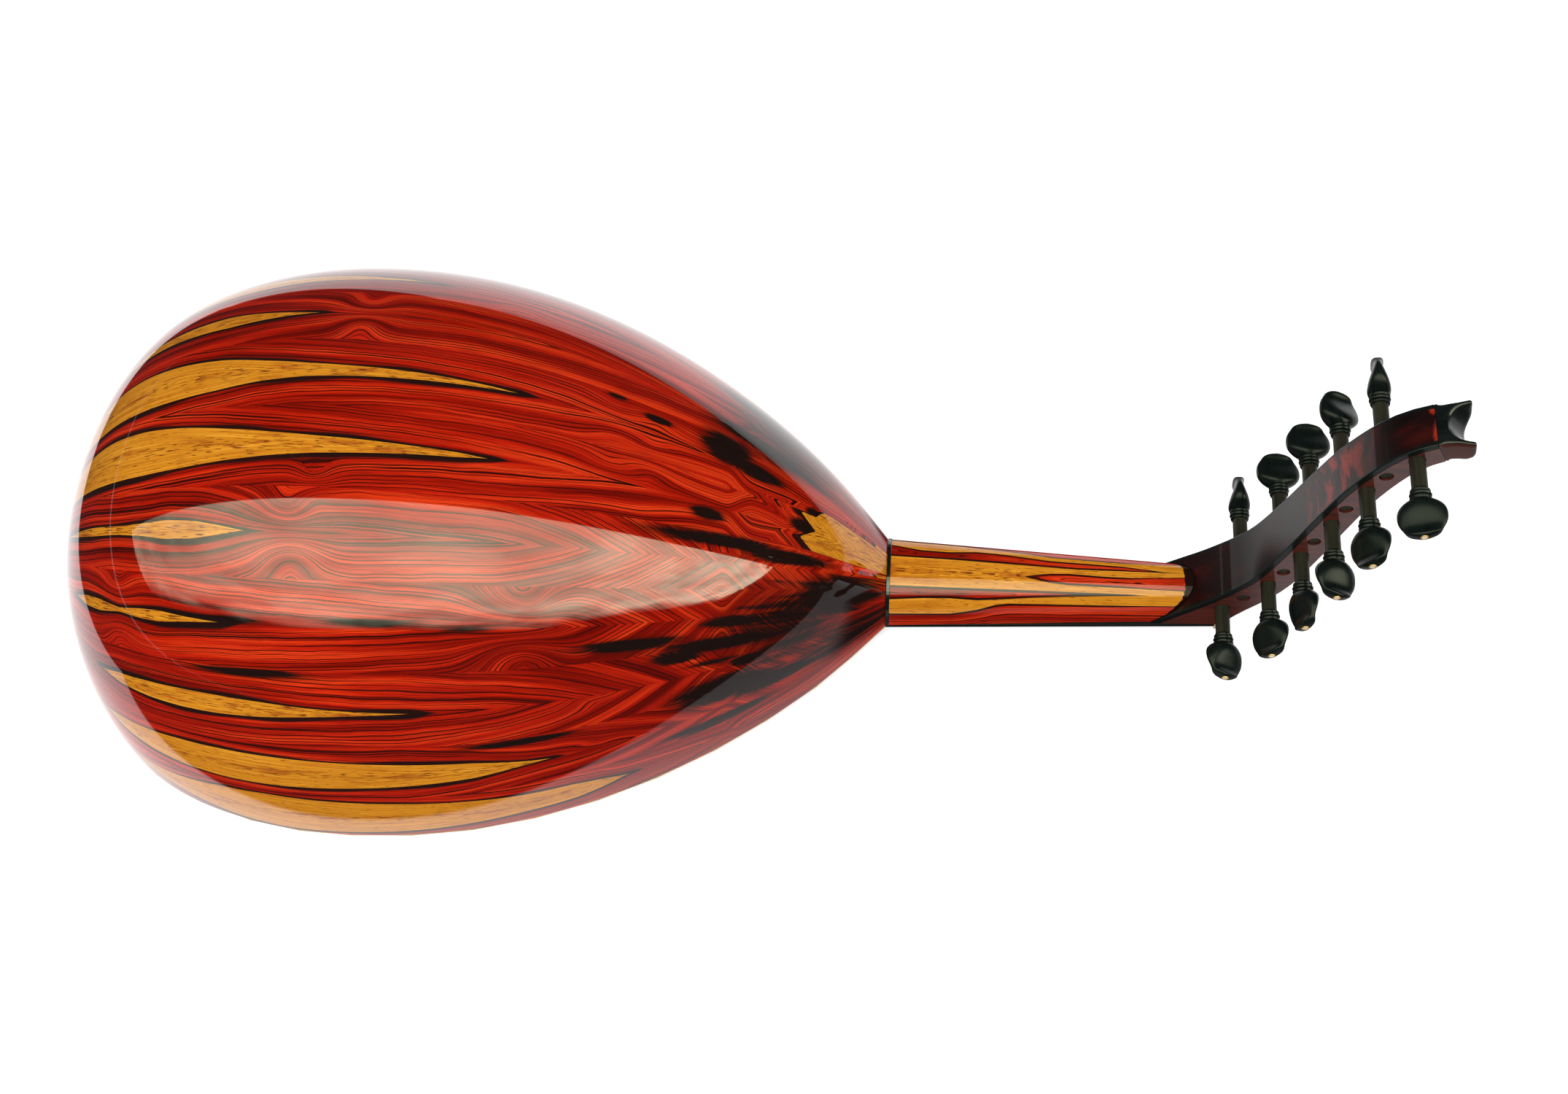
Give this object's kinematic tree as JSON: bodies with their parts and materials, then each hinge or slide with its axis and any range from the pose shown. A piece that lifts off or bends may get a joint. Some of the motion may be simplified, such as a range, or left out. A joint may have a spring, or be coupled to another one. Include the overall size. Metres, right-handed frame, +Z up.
{
  "type": "oud",
  "caption": "Short-necked lute lying face down, with a deep ribbed bowl, a flat soundboard, a bent-back S-shaped pegbox and friction pegs that turn.",
  "frame": {"origin": "under the middle of the whole length, on the middle line, on the table that the oud lies on face down", "axes": "+X runs from the tail of the bowl to the pegbox, +Z goes up through the back of the bowl, +Y is across, towards the far side of the picture"},
  "size_m": [0.7922, 0.348, 0.2153],
  "materials": {
    "bowl_cocobolo": "clear gloss lacquer over bookmatched red wood with yellow sapwood at the seams",
    "inner_spruce": "bare planed wood",
    "soundboard_spruce": "thin satin finish over straight grain",
    "rosette_rosewood": "satin",
    "bridge_rosewood": "satin",
    "ebony": "polished black",
    "neck_cocobolo": "clear gloss lacquer over long red and yellow stripes",
    "pegbox_cocobolo": "clear gloss lacquer over dark red wood",
    "nut_bone": "polished bone",
    "peg_ebony": "satin black head on a brown shaft",
    "string_wound": "fine metal winding on silk",
    "string_nylon": "clear nylon"
  },
  "bodies": {
    "oud_body": {"rib_01": "bowl_cocobolo", "rib_02": "bowl_cocobolo", "rib_03": "bowl_cocobolo", "rib_04": "bowl_cocobolo", "rib_05": "bowl_cocobolo", "rib_06": "bowl_cocobolo", "rib_07": "bowl_cocobolo", "rib_08": "bowl_cocobolo", "rib_09": "bowl_cocobolo", "rib_10": "bowl_cocobolo", "rib_11": "bowl_cocobolo", "rib_12": "bowl_cocobolo", "rib_13": "bowl_cocobolo", "rib_14": "bowl_cocobolo", "rib_15": "bowl_cocobolo", "rib_16": "bowl_cocobolo", "rib_17": "bowl_cocobolo", "rib_18": "bowl_cocobolo", "rib_19": "bowl_cocobolo", "rib_20": "bowl_cocobolo", "rib_21": "bowl_cocobolo", "rib_22": "bowl_cocobolo", "rib_23": "bowl_cocobolo", "rib_24": "bowl_cocobolo", "neck_block": "inner_spruce", "tail_block": "inner_spruce", "tail_cap": "ebony", "soundboard": "soundboard_spruce", "rosette_main": "rosette_rosewood", "rosette_far": "rosette_rosewood", "rosette_near": "rosette_rosewood", "pickguard": "ebony", "braces_upper": "inner_spruce", "braces_lower": "inner_spruce", "bridge": "bridge_rosewood", "neck": "neck_cocobolo", "neck_ring": "ebony", "fingerboard": "ebony", "nut": "nut_bone", "pegbox_wall_near": "pegbox_cocobolo", "pegbox_wall_far": "pegbox_cocobolo", "pegbox_back": "pegbox_cocobolo", "pegbox_finial": "ebony", "string_bass": "string_wound", "string_pair_1": "string_wound", "string_pair_2": "string_wound", "string_pair_3": "string_wound", "string_pair_4": "string_nylon", "string_pair_5": "string_nylon"},
    "peg_01": {"peg_01": "peg_ebony"},
    "peg_02": {"peg_02": "peg_ebony"},
    "peg_03": {"peg_03": "peg_ebony"},
    "peg_04": {"peg_04": "peg_ebony"},
    "peg_05": {"peg_05": "peg_ebony"},
    "peg_06": {"peg_06": "peg_ebony"},
    "peg_07": {"peg_07": "peg_ebony"},
    "peg_08": {"peg_08": "peg_ebony"},
    "peg_09": {"peg_09": "peg_ebony"},
    "peg_10": {"peg_10": "peg_ebony"},
    "peg_11": {"peg_11": "peg_ebony"}
  },
  "joints": [
    {"name": "peg_01_turn", "type": "hinge", "parent": "oud_body", "child": "peg_01", "pos_m": [0.29176, -0.01744, 0.03192], "axis": [0, -1, 0], "continuous": true},
    {"name": "peg_02_turn", "type": "hinge", "parent": "oud_body", "child": "peg_02", "pos_m": [0.30221, 0.01701, 0.04436], "axis": [0, 1, 0], "continuous": true},
    {"name": "peg_03_turn", "type": "hinge", "parent": "oud_body", "child": "peg_03", "pos_m": [0.31351, -0.01647, 0.06119], "axis": [0, -1, 0], "continuous": true},
    {"name": "peg_04_turn", "type": "hinge", "parent": "oud_body", "child": "peg_04", "pos_m": [0.31974, 0.01604, 0.07613], "axis": [0, 1, 0], "continuous": true},
    {"name": "peg_05_turn", "type": "hinge", "parent": "oud_body", "child": "peg_05", "pos_m": [0.32597, -0.01551, 0.09545], "axis": [0, -1, 0], "continuous": true},
    {"name": "peg_06_turn", "type": "hinge", "parent": "oud_body", "child": "peg_06", "pos_m": [0.33054, 0.01508, 0.111], "axis": [0, 1, 0], "continuous": true},
    {"name": "peg_07_turn", "type": "hinge", "parent": "oud_body", "child": "peg_07", "pos_m": [0.33615, -0.01454, 0.1305], "axis": [0, -1, 0], "continuous": true},
    {"name": "peg_08_turn", "type": "hinge", "parent": "oud_body", "child": "peg_08", "pos_m": [0.34085, 0.01411, 0.14601], "axis": [0, 1, 0], "continuous": true},
    {"name": "peg_09_turn", "type": "hinge", "parent": "oud_body", "child": "peg_09", "pos_m": [0.34786, -0.01357, 0.16504], "axis": [0, -1, 0], "continuous": true},
    {"name": "peg_10_turn", "type": "hinge", "parent": "oud_body", "child": "peg_10", "pos_m": [0.35502, 0.01314, 0.17958], "axis": [0, 1, 0], "continuous": true},
    {"name": "peg_11_turn", "type": "hinge", "parent": "oud_body", "child": "peg_11", "pos_m": [0.3671, -0.0126, 0.19577], "axis": [0, -1, 0], "continuous": true}
  ]
}
